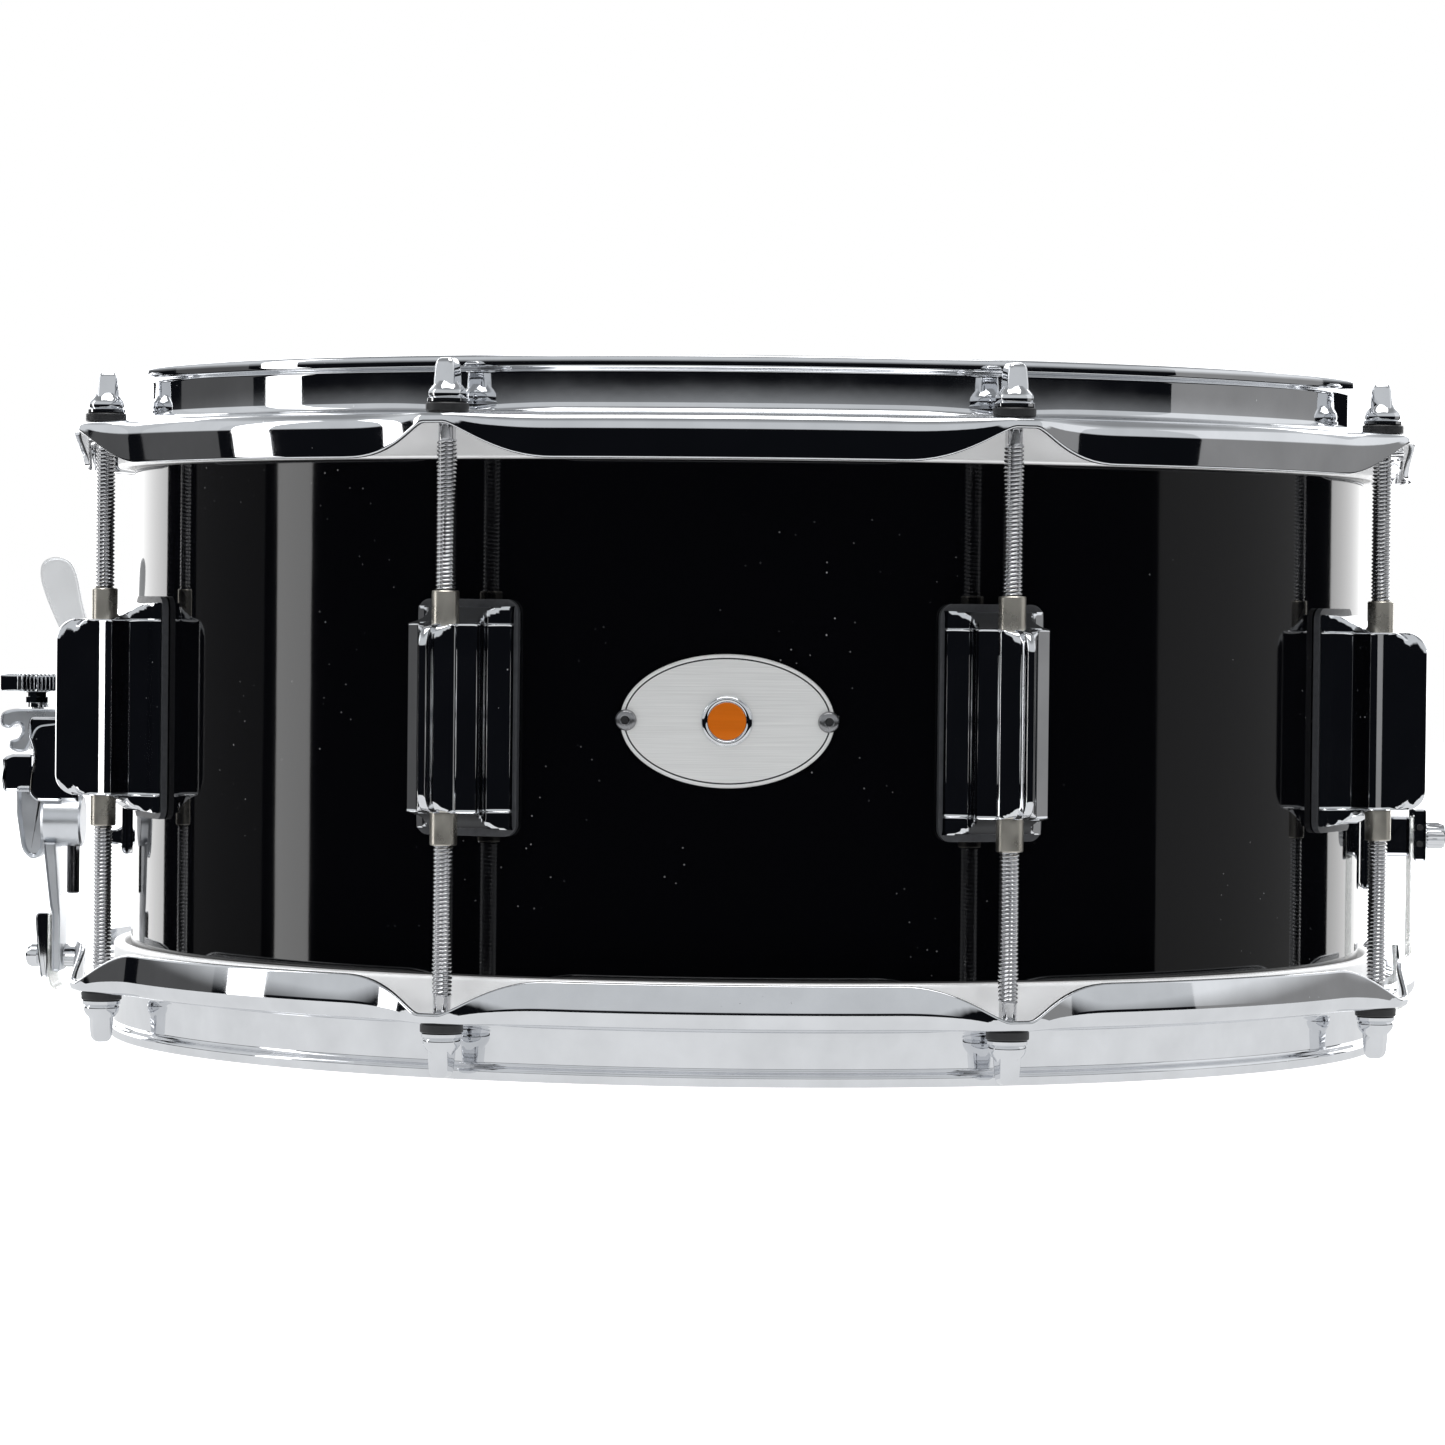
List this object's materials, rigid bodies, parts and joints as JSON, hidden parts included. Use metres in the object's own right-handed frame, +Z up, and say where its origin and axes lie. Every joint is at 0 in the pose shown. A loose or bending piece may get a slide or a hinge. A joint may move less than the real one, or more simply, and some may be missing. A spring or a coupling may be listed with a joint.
{
  "type": "snare drum",
  "caption": "Snare drum with a black wood shell, flanged metal hoops, tension rods in lugs, a side lever throw-off, a butt plate, clear straps and snare wires.",
  "frame": {"origin": "centre of the batter head's playing face, on the drum's axis", "axes": "+Z up along the drum's axis out of the batter head, -Y to the front (badge and vent), -X to the throw-off strainer, +X to the butt plate"},
  "size_m": [0.4211, 0.3882, 0.1892],
  "materials": {
    "black_lacquer": "deep gloss black lacquer",
    "chrome": "bright plated",
    "aluminium": "satin",
    "grey_plastic": "satin",
    "coated_film": "lightly textured white coating",
    "clear_film": "smooth, hazy",
    "clear_strap": "clear",
    "steel_wire": "bright"
  },
  "bodies": {
    "drum": {"shell": "black_lacquer", "badge_plate": "aluminium", "badge_pin_left": "aluminium", "badge_pin_right": "aluminium", "vent_grommet": "chrome", "batter_head": "coated_film", "batter_flesh_hoop": "aluminium", "snare_head": "clear_film", "snare_flesh_hoop": "aluminium", "batter_hoop": "chrome", "snare_hoop": "chrome", "lug_1": "chrome", "lug_2": "chrome", "lug_3": "chrome", "lug_4": "chrome", "lug_5": "chrome", "lug_6": "chrome", "lug_7": "chrome", "lug_8": "chrome", "lug_gasket_1": "grey_plastic", "lug_gasket_2": "grey_plastic", "lug_gasket_3": "grey_plastic", "lug_gasket_4": "grey_plastic", "lug_gasket_5": "grey_plastic", "lug_gasket_6": "grey_plastic", "lug_gasket_7": "grey_plastic", "lug_gasket_8": "grey_plastic", "strainer_body": "chrome", "lever_pin": "chrome", "butt_bracket": "chrome", "butt_jaw": "chrome", "butt_screw_front": "chrome", "butt_screw_back": "chrome", "butt_strap": "clear_strap"},
    "batter_rod_1": {"batter_rod_1": "chrome"},
    "batter_rod_2": {"batter_rod_2": "chrome"},
    "batter_rod_3": {"batter_rod_3": "chrome"},
    "batter_rod_4": {"batter_rod_4": "chrome"},
    "batter_rod_5": {"batter_rod_5": "chrome"},
    "batter_rod_6": {"batter_rod_6": "chrome"},
    "batter_rod_7": {"batter_rod_7": "chrome"},
    "batter_rod_8": {"batter_rod_8": "chrome"},
    "snare_rod_1": {"snare_rod_1": "chrome"},
    "snare_rod_2": {"snare_rod_2": "chrome"},
    "snare_rod_3": {"snare_rod_3": "chrome"},
    "snare_rod_4": {"snare_rod_4": "chrome"},
    "snare_rod_5": {"snare_rod_5": "chrome"},
    "snare_rod_6": {"snare_rod_6": "chrome"},
    "snare_rod_7": {"snare_rod_7": "chrome"},
    "snare_rod_8": {"snare_rod_8": "chrome"},
    "throw_off_lever": {"strainer_lever": "chrome"},
    "carriage": {"strainer_carriage": "chrome", "strainer_clamp_jaw": "chrome", "strainer_clamp_screw": "chrome", "strainer_strap": "clear_strap"},
    "adjuster_knob": {"strainer_knob": "chrome"},
    "snares": {"snare_wires": "steel_wire"}
  },
  "joints": [
    {"name": "batter_rod_1_turn", "type": "hinge", "parent": "drum", "child": "batter_rod_1", "pos_m": [0.07348, -0.17738, 0], "axis": [0, 0, 1], "continuous": true},
    {"name": "batter_rod_2_turn", "type": "hinge", "parent": "drum", "child": "batter_rod_2", "pos_m": [0.17738, -0.07348, 0], "axis": [0, 0, 1], "continuous": true},
    {"name": "batter_rod_3_turn", "type": "hinge", "parent": "drum", "child": "batter_rod_3", "pos_m": [0.17738, 0.07348, 0], "axis": [0, 0, 1], "continuous": true},
    {"name": "batter_rod_4_turn", "type": "hinge", "parent": "drum", "child": "batter_rod_4", "pos_m": [0.07348, 0.17738, 0], "axis": [0, 0, 1], "continuous": true},
    {"name": "batter_rod_5_turn", "type": "hinge", "parent": "drum", "child": "batter_rod_5", "pos_m": [-0.07348, 0.17738, 0], "axis": [0, 0, 1], "continuous": true},
    {"name": "batter_rod_6_turn", "type": "hinge", "parent": "drum", "child": "batter_rod_6", "pos_m": [-0.17738, 0.07348, 0], "axis": [0, 0, 1], "continuous": true},
    {"name": "batter_rod_7_turn", "type": "hinge", "parent": "drum", "child": "batter_rod_7", "pos_m": [-0.17738, -0.07348, 0], "axis": [0, 0, 1], "continuous": true},
    {"name": "batter_rod_8_turn", "type": "hinge", "parent": "drum", "child": "batter_rod_8", "pos_m": [-0.07348, -0.17738, 0], "axis": [0, 0, 1], "continuous": true},
    {"name": "snare_rod_1_turn", "type": "hinge", "parent": "drum", "child": "snare_rod_1", "pos_m": [0.07348, -0.17738, -0.1667], "axis": [0, 0, -1], "continuous": true},
    {"name": "snare_rod_2_turn", "type": "hinge", "parent": "drum", "child": "snare_rod_2", "pos_m": [0.17738, -0.07348, -0.1667], "axis": [0, 0, -1], "continuous": true},
    {"name": "snare_rod_3_turn", "type": "hinge", "parent": "drum", "child": "snare_rod_3", "pos_m": [0.17738, 0.07348, -0.1667], "axis": [0, 0, -1], "continuous": true},
    {"name": "snare_rod_4_turn", "type": "hinge", "parent": "drum", "child": "snare_rod_4", "pos_m": [0.07348, 0.17738, -0.1667], "axis": [0, 0, -1], "continuous": true},
    {"name": "snare_rod_5_turn", "type": "hinge", "parent": "drum", "child": "snare_rod_5", "pos_m": [-0.07348, 0.17738, -0.1667], "axis": [0, 0, -1], "continuous": true},
    {"name": "snare_rod_6_turn", "type": "hinge", "parent": "drum", "child": "snare_rod_6", "pos_m": [-0.17738, 0.07348, -0.1667], "axis": [0, 0, -1], "continuous": true},
    {"name": "snare_rod_7_turn", "type": "hinge", "parent": "drum", "child": "snare_rod_7", "pos_m": [-0.17738, -0.07348, -0.1667], "axis": [0, 0, -1], "continuous": true},
    {"name": "snare_rod_8_turn", "type": "hinge", "parent": "drum", "child": "snare_rod_8", "pos_m": [-0.07348, -0.17738, -0.1667], "axis": [0, 0, -1], "continuous": true},
    {"name": "lever_throw", "type": "hinge", "parent": "drum", "child": "throw_off_lever", "pos_m": [-0.19, 0, -0.08335], "axis": [0, -1, 0], "range_deg": [0, 90]},
    {"name": "carriage_drop", "type": "slide", "parent": "drum", "child": "carriage", "axis": [0, 0, -1], "range_m": [0, 0.005]},
    {"name": "knob_turn", "type": "hinge", "parent": "carriage", "child": "adjuster_knob", "pos_m": [-0.2074, 0, -0.08335], "axis": [0, 0, 1], "continuous": true},
    {"name": "snare_tip", "type": "hinge", "parent": "drum", "child": "snares", "pos_m": [0.165, 0, -0.1677], "axis": [0, -1, 0], "range_deg": [0, 0.904]}
  ],
  "couplings": [
    {"joint": "carriage_drop", "follows": "lever_throw", "m_per_rad": 0.0031831},
    {"joint": "snare_tip", "follows": "lever_throw", "ratio": 0.010043}
  ]
}
